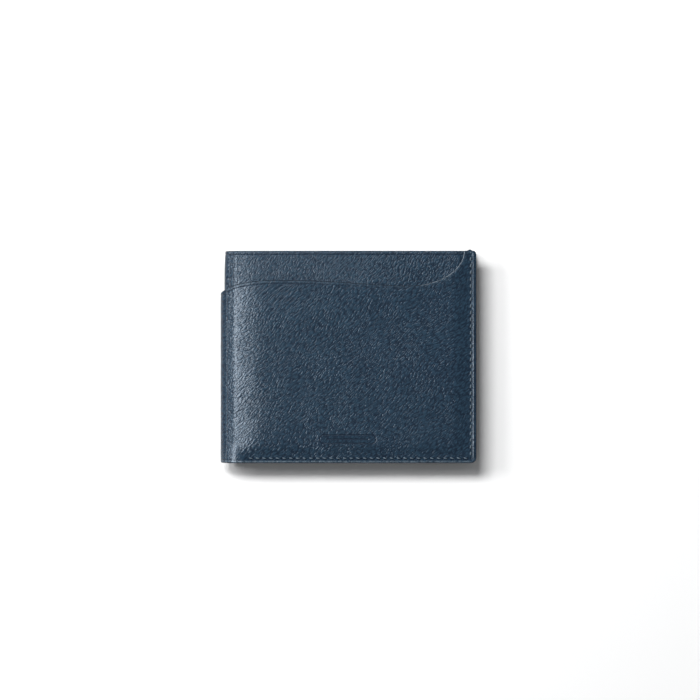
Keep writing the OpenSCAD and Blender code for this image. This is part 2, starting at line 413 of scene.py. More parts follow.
@dataclass(frozen=True)
class PocketOutline(Outline):
    """Outline of the outer pocket, with its wave, its sweep and the horn at the free edge.

    From the middle of the spine, the edge rises to a crest as a parabola. From the crest it falls to a trough as half
    a cosine wave, and from the trough a quarter of an ellipse sweeps up to the horn.
    """

    stack: Stack = field(kw_only=True)
    crest_drop: float = field(default=13.2, kw_only=True)
    crest_reach: float = field(default=16.8, kw_only=True)
    trough_drop: float = field(default=2.5, kw_only=True)
    spine_drop: float = field(default=5.7, kw_only=True)
    sweep: float = field(default=24.5, kw_only=True)
    horn: float = field(default=5.5, kw_only=True)
    knuckle: float = field(default=2.9, kw_only=True)
    knuckle_reach: float = field(default=1.5, kw_only=True)

    @property
    def horn_x(self) -> float:
        """Where the sweep meets the cover's top edge."""
        return self.right - self.horn

    @property
    def trough_x(self) -> float:
        """The lowest place of the edge."""
        return self.horn_x - self.sweep

    @property
    def crest_y(self) -> float:
        """Height of the crest."""
        return self.stack.cover_y - self.crest_drop

    def top(self, x: np.ndarray) -> np.ndarray:
        """Height of the edge left of the trough: the parabola as far as the crest, and then the cosine wave."""
        s = self.stack
        crest_x = s.bend_x + self.crest_reach
        whole = s.quarter + self.crest_reach
        to_spine = np.clip((crest_x - x) / whole, 0.0, 1.0)
        rising = self.crest_y - self.spine_drop * to_spine**2
        share = np.clip((x - crest_x) / (self.trough_x - crest_x), 0.0, 1.0)
        falling = self.crest_y - self.trough_drop * (1.0 - np.cos(math.pi * share**1.3)) / 2.0
        return np.where(x < crest_x, rising, falling)

    def mouth_line(self, inset: float) -> np.ndarray:
        """The mouth from the middle of the horn's corner: the horn's top, the sweep, and the wave to the left."""
        s = self.stack
        radius = max(self.high_radius - inset, self.TIGHTEST)
        right = self.right - inset
        notch = self.horn_x + inset
        tip = np.linspace(right - radius, notch + self.TIGHTEST, 24)
        knuckle = 0.5 + 0.5 * np.cos(math.pi * np.clip((tip - self.right + self.knuckle) / self.knuckle_reach, -1, 1))
        tip_y = s.cover_y - inset + (s.horn_y - s.cover_y) * knuckle
        corner = arc((right - radius, tip_y[0] - radius), radius, 45.0, 90.0)
        angle = np.linspace(0.0, math.pi / 2.0, 60)
        height = self.crest_drop + self.trough_drop
        normal = np.stack([np.cos(angle) / self.sweep, -np.sin(angle) / height], 1)
        normal /= np.hypot(*normal.T)[:, None]
        sweep = np.stack([self.trough_x + self.sweep * np.cos(angle), s.cover_y - height * np.sin(angle)], 1)
        sweep = sweep + normal * inset
        sweep = sweep[sweep[:, 1] < tip_y[-1] - self.TIGHTEST]
        wave_x = np.linspace(self.trough_x, self.left, 120)[1:]
        wave = np.stack([wave_x, self.top(wave_x) - inset * self.slant(wave_x)], 1)
        return np.concatenate([corner, np.stack([tip, tip_y], 1)[1:], sweep, wave])

    def free_line(self, inset: float) -> np.ndarray:
        """The free edge, up to the middle of the horn's corner."""
        low = max(self.low_radius - inset, self.TIGHTEST)
        x = self.right - inset
        return np.concatenate([arc((x - low, self.low + inset + low), low, 315.0, 360.0), self._horn_corner(inset)])

    def _horn_corner(self, inset: float) -> np.ndarray:
        """The lower half of the horn's rounded corner."""
        radius = max(self.high_radius - inset, self.TIGHTEST)
        right = self.right - inset
        return arc((right - radius, self.stack.cover_y - inset - radius), radius, 0.0, 45.0)


# --------------------------------------------------------------------------- skins: grids in the flat


@dataclass(frozen=True)
class Skin:
    """One face of a sheet in the flat.

    Attributes:
        points: Places in the flat, one row each.
        quads: Faces with their corners against the clock.
        border: The vertices along the border, against the clock.
        cut: For each step of the border, whether the sheet is cut there and goes on in another piece.
        inset: Distance of each point from the sheet's own edge, held at the innermost ring's.
    """

    points: np.ndarray
    quads: np.ndarray
    border: np.ndarray
    cut: np.ndarray
    inset: np.ndarray


INSETS = np.array([0.0, 0.04, 0.1, 0.2, 0.34, 0.55, 0.85, 1.1, 1.25, 1.38, 1.5, 1.62, 1.75, 1.9, 2.05, 2.2])


def grid_quads(ids: np.ndarray) -> np.ndarray:
    """Faces of a grid of vertex numbers, whose first axis runs to the right and second one up."""
    return np.stack([ids[:-1, :-1], ids[1:, :-1], ids[1:, 1:], ids[:-1, 1:]], -1).reshape(-1, 4)


def panel_skin(outline: Outline, grade: Grade) -> Skin:
    """Meshes a piece whose border is a ring of lines round a patch.

    The rings follow the outline at the distances in INSETS. The patch inside them is a Coons patch: each point is
    the mean of the two lines ruled between opposite sides, less the plane ruled between the four corners.

    Args:
        outline: The piece's outline.
        grade: How fine the mesh is.

    Returns:
        The skin.
    """
    across, up = eased(grade.value[0]), eased(grade.value[1])
    rings = []
    for inset in INSETS:
        sides = [
            along(outline.bottom_line(inset), across),
            along(outline.free_line(inset), up)[1:],
            along(outline.mouth_line(inset), across)[1:],
        ]
        if not outline.cut_left:
            sides.append(along(outline.left_line(inset), up)[1:-1])
        rings.append(np.concatenate(sides))
    rings = np.array(rings)
    columns, rows = len(across), len(up)
    bottom = rings[-1][:columns]
    free = rings[-1][columns - 1 : columns + rows - 1]
    mouth = rings[-1][columns + rows - 2 : 2 * columns + rows - 2][::-1]
    left = along(np.stack([bottom[0], mouth[0]]), up)
    if not outline.cut_left:
        left = np.concatenate([rings[-1][2 * columns + rows - 3 :], rings[-1][:1]])[::-1]
    u, v = across[:, None, None], up[None, :, None]
    corners = (1 - u) * (1 - v) * bottom[0] + u * (1 - v) * bottom[-1] + (1 - u) * v * mouth[0] + u * v * mouth[-1]
    ruled = (1 - v) * bottom[:, None] + v * mouth[:, None] + (1 - u) * left[None] + u * free[None]
    patch = ruled - corners

    length = rings.shape[1]
    ring_ids = np.arange(len(INSETS) * length).reshape(len(INSETS), length)
    start = (len(INSETS) - 1) * length
    patch_ids = start + np.arange(columns * rows).reshape(columns, rows)
    walk = [patch_ids[:, 0], patch_ids[-1, 1:], patch_ids[-2::-1, -1]]
    if not outline.cut_left:
        walk.append(patch_ids[0, -2:0:-1])
    ring_ids[-1] = np.concatenate(walk)
    closing = ring_ids[:, :1] if not outline.cut_left else ring_ids[:, :0]
    looped = np.concatenate([ring_ids, closing], 1)
    quads = np.concatenate([grid_quads(looped.T), grid_quads(patch_ids)])
    points = np.concatenate([rings[:-1].reshape(-1, 2), patch.reshape(-1, 2)])
    inset = np.concatenate([np.repeat(INSETS[:-1], length), np.full(patch.shape[0] * patch.shape[1], INSETS[-1])])
    border = ring_ids[0]
    cut = np.zeros(len(border), bool)
    if outline.cut_left:
        down = np.concatenate([ring_ids[1:, -1], patch_ids[0, -2:0:-1], ring_ids[:0:-1, 0]])
        cut = np.concatenate([cut[:-1], np.ones(len(down) + 1, bool)])
        border = np.concatenate([border, down])
    return Skin(points, quads, border, cut, inset)


def strip_skin(outline: Outline, left: float, right: float, grade: Grade, columns: int = 14) -> Skin:
    """Meshes a stretch of a layer between two upright cuts.

    Each column holds the same places as a panel's cut does: the insets from the bottom, even steps between them and
    the insets from the mouth.

    Args:
        outline: The layer's outline, for its bottom and mouth.
        left: Place of the left cut along the flat.
        right: Place of the right cut.
        grade: How fine the mesh is up the strip.
        columns: Steps along the flat.

    Returns:
        The skin.
    """
    x = np.linspace(left, right, columns + 1)[:, None]
    low = outline.low + INSETS
    high = outline.top(x) - INSETS[::-1] * outline.slant(x)
    middle = low[-1] + (high[:, :1] - low[-1]) * eased(grade.value[1])[1:-1]
    y = np.concatenate([np.broadcast_to(low, (columns + 1, len(low))), middle, high], 1)
    x = np.broadcast_to(x, y.shape)
    ids = np.arange(y.size).reshape(y.shape)
    border = np.concatenate([ids[:-1, 0], ids[-1, :-1], ids[:0:-1, -1], ids[0, :0:-1]])
    steps = [columns, y.shape[1] - 1, columns, y.shape[1] - 1]
    cut = np.repeat([False, True, False, True], steps)
    inset = np.minimum(y - outline.low, (high[:, -1:] - y) / outline.slant(x))
    return Skin(
        np.stack([x.ravel(), y.ravel()], 1), grid_quads(ids), border, cut, np.minimum(inset, INSETS[-1]).ravel()
    )


# --------------------------------------------------------------------------- meshes


@dataclass
class Solid:
    """A closed mesh, ready to be made a Blender object.

    Attributes:
        points: Points in millimetres.
        quads: Faces.
        flat: The leather's own place of each point, along and up.
        edge: Distance of each point from the piece's edge.
        slots: Material number of each face.
        level: Whether each face is shaded flat.
    """

    points: np.ndarray
    quads: np.ndarray
    flat: np.ndarray
    edge: np.ndarray
    slots: np.ndarray
    level: np.ndarray

    def build(self, name: str, materials: list[bpy.types.Material]) -> bpy.types.Object:
        """Makes the Blender object.

        Args:
            name: The piece's name.
            materials: One for each material number.

        Returns:
            The object, linked to the scene.
        """
        mesh = bpy.data.meshes.new(name)
        count = len(self.quads)
        mesh.vertices.add(len(self.points))
        mesh.vertices.foreach_set("co", (self.points * MM).astype(np.float32).ravel())
        mesh.loops.add(count * 4)
        mesh.loops.foreach_set("vertex_index", self.quads.astype(np.int32).ravel())
        mesh.polygons.add(count)
        mesh.polygons.foreach_set("loop_start", np.arange(0, count * 4, 4, dtype=np.int32))
        mesh.polygons.foreach_set("material_index", self.slots.astype(np.int32))
        mesh.update(calc_edges=True)
        mesh.polygons.foreach_set("use_smooth", ~self.level)
        uv = mesh.uv_layers.new(name=FLAT_MAP)
        uv.data.foreach_set("uv", self.flat[self.quads.ravel()].astype(np.float32).ravel())
        edge = mesh.attributes.new(EDGE_NAME, "FLOAT", "POINT")
        edge.data.foreach_set("value", self.edge.astype(np.float32))
        mesh.validate(verbose=False)
        piece = bpy.data.objects.new(name, mesh)
        bpy.context.scene.collection.objects.link(piece)
        for material in materials:
            mesh.materials.append(material)
        return piece


def sheet_solid(
    lay: Lay, side: Side, skin: Skin, outer: np.ndarray, inner: np.ndarray, rounding: float, painted: float
) -> Solid:
    """Closes two faces of a sheet into a solid.

    Both faces are pulled together near the sheet's edge by the height of a quarter circle, so its edge is round. A
    wall joins their borders. The faces near the edge and the wall take the second material, the painted edge.

    Args:
        lay: How points of the flat lie in the wallet.
        side: The half.
        skin: The sheet in the flat.
        outer: Depth of the outer face at each point.
        inner: Depth of the inner face at each point.
        rounding: Radius of the rounded edge.
        painted: How far the edge's paint reaches onto each face.

    Returns:
        The solid.
    """
    away = 1.0 - np.clip(skin.inset / rounding, 0.0, 1.0)
    pulled = rounding * (1.0 - np.sqrt(1.0 - away * away))
    x, y = skin.points.T
    faces = [lay.place(side, x, y, outer + pulled), lay.place(side, x, y, inner - pulled)]
    count = len(skin.points)
    over = np.roll(skin.border, -1)
    wall = np.stack([skin.border, skin.border + count, over + count, over], 1)
    quads = np.concatenate([skin.quads, skin.quads[:, ::-1] + count, wall])
    if side is Side.BACK:
        quads = quads[:, ::-1]
    near = skin.inset[skin.quads].max(1) <= painted
    slots = np.concatenate([near, near, ~skin.cut]).astype(int)
    level = np.concatenate([np.zeros(2 * len(skin.quads), bool), skin.cut])
    s = lay.stack
    flat = np.stack([side.sign * (x - s.bend_x + s.quarter), y], 1)
    return Solid(
        np.concatenate(faces), quads, np.concatenate([flat, flat]), np.tile(skin.inset, 2), slots, level
    )


# --------------------------------------------------------------------------- shader arithmetic


class Number:
    """A number inside a material. Python's operators on it add Math nodes."""

    def __init__(self, shop: "Finisher", socket: bpy.types.NodeSocket) -> None:
        """Wraps a socket of the finisher's material."""
        self.shop = shop
        self.socket = socket

    def _math(self, operation: str, *others: object, first: bool = True) -> "Number":
        """Adds a Math node with this number first, or second."""
        values = [self, *others] if first else [*others, self]
        return self.shop.node("ShaderNodeMath", {"operation": operation}, dict(enumerate(values)))

    def __add__(self, other: object) -> "Number":
        """This number plus other."""
        return self._math("ADD", other)

    __radd__ = __add__

    def __mul__(self, other: object) -> "Number":
        """This number times other."""
        return self._math("MULTIPLY", other)

    __rmul__ = __mul__

    def __sub__(self, other: object) -> "Number":
        """This number less other."""
        return self._math("SUBTRACT", other)

    def __rsub__(self, other: object) -> "Number":
        """Other less this number."""
        return self._math("SUBTRACT", other, first=False)

    def __truediv__(self, other: object) -> "Number":
        """This number over other."""
        return self._math("DIVIDE", other)

    def __pow__(self, other: object) -> "Number":
        """This number to a power."""
        return self._math("POWER", other)

    def __abs__(self) -> "Number":
        """This number without its sign."""
        return self._math("ABSOLUTE")

    def sine(self) -> "Number":
        """Its sine."""
        return self._math("SINE")

    def most(self, other: object) -> "Number":
        """The larger of two."""
        return self._math("MAXIMUM", other)

    def step(self, low: float, high: float, to_low: float = 0.0, to_high: float = 1.0) -> "Number":
        """A soft step from to_low at low to to_high at high."""
        settings = {"interpolation_type": "SMOOTHSTEP", "clamp": True}
        return self.shop.node("ShaderNodeMapRange", settings, {0: self, 1: low, 2: high, 3: to_low, 4: to_high})


class Finisher:
    """Makes one material, node by node."""

    def __init__(self, name: str) -> None:
        """Starts an empty material."""
        self.material = bpy.data.materials.new(name)
        self.material.use_nodes = True
        self.tree = self.material.node_tree
        self.tree.nodes.clear()

    def node(self, kind: str, settings: dict[str, object], inputs: dict[object, object], output: object = 0) -> Number:
        """Adds a node.

        Args:
            kind: The node's type.
            settings: Its own settings, which are set first.
            inputs: Values or numbers for its sockets, by name or place.
            output: The wanted output, by name or place.

        Returns:
            The output as a number.
        """
        made = self.tree.nodes.new(kind)
        for name, value in settings.items():
            setattr(made, name, value)
        for place, value in inputs.items():
            if isinstance(value, Number):
                self.tree.links.new(value.socket, made.inputs[place])
            elif value is not None:
                made.inputs[place].default_value = value
        return Number(self, made.outputs[output])

    def flat(self) -> Number:
        """The leather's own place in millimetres, as a vector."""
        return self.node("ShaderNodeUVMap", {"uv_map": FLAT_MAP}, {})

    def edge(self) -> Number:
        """Distance from the piece's edge in millimetres."""
        return self.node("ShaderNodeAttribute", {"attribute_name": EDGE_NAME}, {}, "Fac")

    def parts(self, vector: Number) -> tuple[Number, Number]:
        """The first two parts of a vector."""
        whole = self.node("ShaderNodeSeparateXYZ", {}, {0: vector})
        return whole, Number(self, whole.socket.node.outputs[1])

    def turned(self, vector: Number, angle: float, lengths: tuple[float, float], shift: float = 0.0) -> Number:
        """A place measured along axes turned by an angle in degrees, in units of the given lengths."""
        return self.node(
            "ShaderNodeMapping",
            {"vector_type": "TEXTURE"},
            {"Vector": vector, "Location": (shift, shift, 0.0), "Rotation": (0.0, 0.0, math.radians(angle)),
             "Scale": (*lengths, 1.0)},
        )

    def noise(self, vector: Number, scale: float, detail: float = 2.0, rough: float = 0.5) -> Number:
        """Noise of about 0 to 1."""
        settings = {"noise_dimensions": "2D", "noise_type": "FBM", "normalize": True}
        return self.node("ShaderNodeTexNoise", settings,
                         {"Vector": vector, "Scale": scale, "Detail": detail, "Roughness": rough})

    def cells(self, vector: Number, scale: float) -> Number:
        """Distance to the nearest border of irregular cells."""
        settings = {"voronoi_dimensions": "2D", "feature": "DISTANCE_TO_EDGE"}
        inputs = {"Vector": vector, "Scale": scale, "Randomness": 1.0}
        return self.node("ShaderNodeTexVoronoi", settings, inputs, "Distance")

    def warped(self, vector: Number, scale: float, reach: float) -> Number:
        """A place moved about by soft noise, by up to reach each way."""
        drift = self.node("ShaderNodeTexNoise", {"noise_dimensions": "2D"},
                          {"Vector": vector, "Scale": scale, "Detail": 1.0}, "Color")
        centred = self.node("ShaderNodeVectorMath", {"operation": "SUBTRACT"}, {0: drift, 1: (0.5, 0.5, 0.5)})
        sized = self.node("ShaderNodeVectorMath", {"operation": "MULTIPLY"}, {0: centred, 1: (reach, reach, 0.0)})
        return self.node("ShaderNodeVectorMath", {"operation": "ADD"}, {0: vector, 1: sized})

    def mix(self, share: object, first: object, second: object) -> Number:
        """A colour between two."""
        return self.node("ShaderNodeMix", {"data_type": "RGBA", "clamp_factor": True},
                         {0: share, 6: first, 7: second}, 2)

    def bump(self, height: Number, depth: float) -> Number:
        """A normal from a height of 0 to 1, with the height's full size in millimetres."""
        return self.node("ShaderNodeBump", {}, {"Height": height, "Distance": depth * MM, "Strength": 1.0})

    def surface(self, **inputs: object) -> bpy.types.Material:
        """Ends the material with a Principled shader.

        Args:
            **inputs: Values or numbers for the shader's sockets, with underscores for spaces.

        Returns:
            The material.
        """
        named = {name.replace("_", " "): value for name, value in inputs.items()}
        shader = self.node("ShaderNodeBsdfPrincipled", {}, named)
        output = self.tree.nodes.new("ShaderNodeOutputMaterial")
        self.tree.links.new(shader.socket, output.inputs[0])
        return self.material


def tint(red: float, green: float, blue: float) -> tuple[float, float, float, float]:
    """An opaque colour from linear parts."""
    return (red, green, blue, 1.0)


# --------------------------------------------------------------------------- finishes


@dataclass(frozen=True)
class GrainedCalf:
    """Boarded calf, with short creases that run along its diagonal, in a satin finish."""

    name: str
    # The grain's hollows take the deep colour and its ridges the light one: painted shade of the grain's relief.
    deep: tuple[float, float, float] = (0.0045, 0.0135, 0.0285)
    light: tuple[float, float, float] = (0.0175, 0.0435, 0.0735)
    relief: float = 0.086
    lean: float = 43.0
    rough: float = 0.20
    crease: float = 0.0
    fading: bool = False
    marked: bool = False
    drawn: bool = False

    # Each fan's middle, its turn in degrees and its radius.
    FANS = ((-29.0, 26.0, 31.0, 13.0), (-47.0, -20.0, 38.0, 13.0), (-43.0, 2.0, 26.0, 11.0))

    def make(self, stack: Stack) -> bpy.types.Material:
        """Builds the material."""
        shop = Finisher(self.name)
        place = shop.flat()
        soft = shop.warped(place, 0.035, 7.0)
        loose = shop.warped(soft, 0.5, 0.4)
        pebble = shop.cells(shop.turned(loose, self.lean, (2.6, 0.95)), 1.0).step(0.0, 0.36)
        fine = shop.cells(shop.turned(loose, self.lean + 18.0, (1.5, 0.66), 7.3), 1.0).step(0.0, 0.45)
        crease = shop.noise(shop.turned(loose, self.lean + 4.0, (2.5, 0.76), 3.1), 1.0, 1.0, 0.5).step(0.32, 0.66)
        pores = shop.noise(place, 4.2, 2.0, 0.6)
        patches = shop.noise(place, 0.07, 2.0, 0.5)
        pressed = shop.edge().step(0.2, 0.8, 0.6, 1.0)
        height = (pebble * 0.36 + fine * 0.14 + crease * 0.5 + pores * 0.1) * pressed
        if self.drawn:
            height = height + self._folds(shop, place, soft, stack)
        # Darker in the grain's hollows and lighter on its ridges: painted shade of the relief, over the leather's own
        # uneven tone from the patches.
        shade = pebble * 0.5 + fine * 0.2 + crease * 0.5 + patches * 0.3
        if self.marked:
            mark, inside = self._mark(shop, place, stack)
            height = height * (1.0 - inside * 0.65) - mark * 1.5
            shade = shade * (1.0 - mark * 0.75)
        painted_highlight = 0.0
        if self.crease:
            edge = shop.edge()
            line = edge.step(self.crease - 0.26, self.crease - 0.06)
            line = line * edge.step(self.crease + 0.06, self.crease + 0.26, 1.0, 0.0)
            sideways, up = shop.parts(place)
            reach = abs(sideways) - (stack.quarter - stack.bend_x)
            if self.fading:
                line = line * (1.0 - up.step(18.0, 20.0) * reach.step(-22.0, 12.0) * 0.9)
            height = height - line * 0.45
            # The pressed line is darker in colour as well: painted shade in the crease.
            shade = shade * (1.0 - line * 0.75)
            # A lighter colour near the edges, strongest along the stitched bottom and broken up by noise, is a painted
            # highlight of the rim.
            mottle_and_highlight = shop.noise(place, 0.9, 3.0, 0.7).step(0.3, 0.7)
            mottle_and_highlight = mottle_and_highlight * reach.step(54.0, 55.5, 1.0, 0.25)
            mottle_and_highlight = mottle_and_highlight * up.step(stack.low_y + 1.6, stack.low_y + 2.6, 1.0, 0.17)
            painted_highlight = mottle_and_highlight * edge.step(self.crease - 0.4, self.crease - 0.1, 1.0, 0.0)
        colour = shop.mix(shade.step(0.25, 1.3), tint(*self.deep), tint(*self.light))
        # The lighter blue-grey mixed into the base colour is the painted rim highlight.
        return shop.surface(
            Base_Color=shop.mix(painted_highlight, colour, tint(0.078, 0.108, 0.138)),
            Roughness=self.rough + 0.06 * pores + 0.03 * patches,
            Specular_IOR_Level=0.45,
            Normal=shop.bump(height, self.relief),
        )

    def _folds(self, shop: Finisher, place: Number, soft: Number, stack: Stack) -> Number:
        """Fans of longer creases where the leather is drawn towards the spine, each inside a soft round patch."""
        total = None
        start = stack.quarter - stack.bend_x
        x, y = shop.parts(place)
        for middle_x, middle_y, angle, size in self.FANS:
            streak = shop.noise(shop.turned(soft, angle, (14.0, 1.5), middle_x), 1.0, 1.0, 0.5)
            fold = abs(streak * 2.0 - 1.0).step(0.0, 0.2, 1.0, 0.0)
            near = ((x - (middle_x + start)) ** 2.0 + (y - middle_y) ** 2.0).step(0.0, size * size, 1.0, 0.0)
            total = fold * near if total is None else total + fold * near
        return total * -0.45

    def _mark(self, shop: Finisher, place: Number, stack: Stack) -> tuple[Number, Number]:
        """A plain blind-stamped cartouche: a thin line round a long box with round ends, and one line along it.

        Returns:
            How much of the stamp's line there is, and how much of its inside.
        """
        x, y = shop.parts(place)
        half_length, half_height, line = 12.6, 1.9, 0.42
        sideways = abs(x - (stack.quarter - stack.bend_x))
        beyond = (sideways - (half_length - half_height)).most(0.0)
        up = y - (stack.low_y + 10.7)
        away = (beyond * beyond + up * up) ** 0.5 - half_height
        along_it = abs(up).step(0.1, line, 1.0, 0.0) * sideways.step(half_length - 3.4, half_length - 3.0, 1.0, 0.0)
        return abs(away).step(0.1, line, 1.0, 0.0).most(along_it), away.step(-0.2, 0.2, 1.0, 0.0)


@dataclass(frozen=True)
class EdgePaint:
    """Dark paint over cut leather edges, with a satin shine and small unevenness."""

    name: str = "edge_paint"
    colour: tuple[float, float, float] = (0.004, 0.006, 0.010)
    # Lighter colour for the sweep of the mouth's edge: a painted highlight.
    bare: tuple[float, float, float] = (0.18, 0.21, 0.24)

    def make(self, stack: Stack) -> bpy.types.Material:
        """Builds the material. On the sweep of the mouth up to the horn, the edge gets a painted highlight in a
        lighter colour.
        """
        shop = Finisher(self.name)
        x, y = shop.parts(shop.flat())
        place = shop.node("ShaderNodeTexCoord", {}, {}, "Object")
        mottle_and_highlight = shop.node("ShaderNodeTexNoise", {}, {"Vector": place, "Scale": 900.0, "Detail": 3.0})
        reach = abs(x) - (stack.quarter - stack.bend_x)
        # The sweep of the mouth's edge, up to the horn, gets the lighter colour as a painted highlight.
        painted_highlight = reach.step(24.0, 34.0) * reach.step(53.0, 54.0, 1.0, 0.0) * y.step(31.0, 33.0)
        dark = shop.mix(mottle_and_highlight.step(0.42, 0.75), tint(*self.colour), tint(*(part * 2.2 for part in self.colour)))
        return shop.surface(
            Base_Color=shop.mix(painted_highlight * mottle_and_highlight.step(0.25, 0.6), dark, tint(*self.bare)),
            Roughness=mottle_and_highlight * 0.25 + 0.5,
            Specular_IOR_Level=0.22,
            Normal=shop.bump(mottle_and_highlight, 0.04),
        )


@dataclass(frozen=True)
class LiningCloth:
    """Dark twill lining: fine diagonal ribs with a crossing weft."""

    name: str = "lining_cloth"
    colour: tuple[float, float, float] = (0.012, 0.017, 0.028)
    rib: float = 0.42

    def make(self, stack: Stack) -> bpy.types.Material:
        """Builds the material."""
        shop = Finisher(self.name)
        place = shop.flat()
        x, y = shop.parts(place)
        turn = 2.0 * math.pi / self.rib
        ribs = ((x + y) * (turn * 0.7)).sine() * 0.5 + 0.5
        weft = (y * (turn * 1.4)).sine() * 0.5 + 0.5
        slub = shop.noise(place, 1.2, 3.0, 0.6)
        height = ribs * 0.65 + weft * 0.25 + slub * 0.2
        light = tuple(part * 2.1 for part in self.colour)
        return shop.surface(
            Base_Color=shop.mix(height.step(0.2, 1.0), tint(*self.colour), tint(*light)),
            Roughness=slub * 0.1 + 0.78,
            Sheen_Weight=0.25,
            Normal=shop.bump(height, 0.05),
        )


@dataclass(frozen=True)
class FibreBoard:
    """Bonded leather fibre board, grey-brown and matt."""

    name: str = "fibre_board"
    colour: tuple[float, float, float] = (0.10, 0.085, 0.07)

    def make(self, stack: Stack) -> bpy.types.Material:
        """Builds the material."""
        shop = Finisher(self.name)
        place = shop.flat()
        fibre = shop.noise(shop.turned(place, 12.0, (1.6, 0.35)), 1.0, 3.0, 0.65)
        dark = tuple(part * 0.55 for part in self.colour)
        return shop.surface(
            Base_Color=shop.mix(fibre.step(0.3, 0.7), tint(*dark), tint(*self.colour)),
            Roughness=fibre * 0.15 + 0.75,
            Normal=shop.bump(fibre, 0.04),
        )


@dataclass(frozen=True)
class Thread:
    """Waxed twisted thread, whose plies wind round it."""

    name: str = "thread"
    colour: tuple[float, float, float] = (0.150, 0.200, 0.250)

    def make(self, stack: Stack) -> bpy.types.Material:
        """Builds the material."""
        shop = Finisher(self.name)
        length, round_share = shop.parts(shop.flat())
        ply = ((length * 7.5 + round_share * (2.0 * math.pi)).sine()) * 0.5 + 0.5
        dark = tuple(part * 0.45 for part in self.colour)
        return shop.surface(
            Base_Color=shop.mix(ply.step(0.1, 0.8), tint(*dark), tint(*self.colour)),
            Roughness=ply * -0.1 + 0.55,
            Normal=shop.bump(ply, 0.07),
        )


@dataclass
class Finishes:
    """Every finish of the wallet, made once."""

    stack: Stack
    made: dict[str, bpy.types.Material] = field(default_factory=dict)

    def make(self) -> "Finishes":
        """Makes the materials.

        Returns:
            This object.
        """
        for finish in (
            GrainedCalf("pocket_front_calf", crease=1.4, fading=True, marked=True, drawn=True),
            GrainedCalf("pocket_calf", crease=1.4, fading=True),
            GrainedCalf("cover_calf", relief=0.118, lean=50.0, light=(0.0185, 0.0450, 0.0755), crease=1.5),
            GrainedCalf("inner_calf", relief=0.12, lean=35.0, rough=0.38, crease=0.8),
            EdgePaint(),
            LiningCloth(),
            FibreBoard(),
            Thread(),
        ):
            self.made[finish.name] = finish.make(self.stack)
            log.info("finish %s", finish.name)
        return self


# --------------------------------------------------------------------------- sub-assemblies


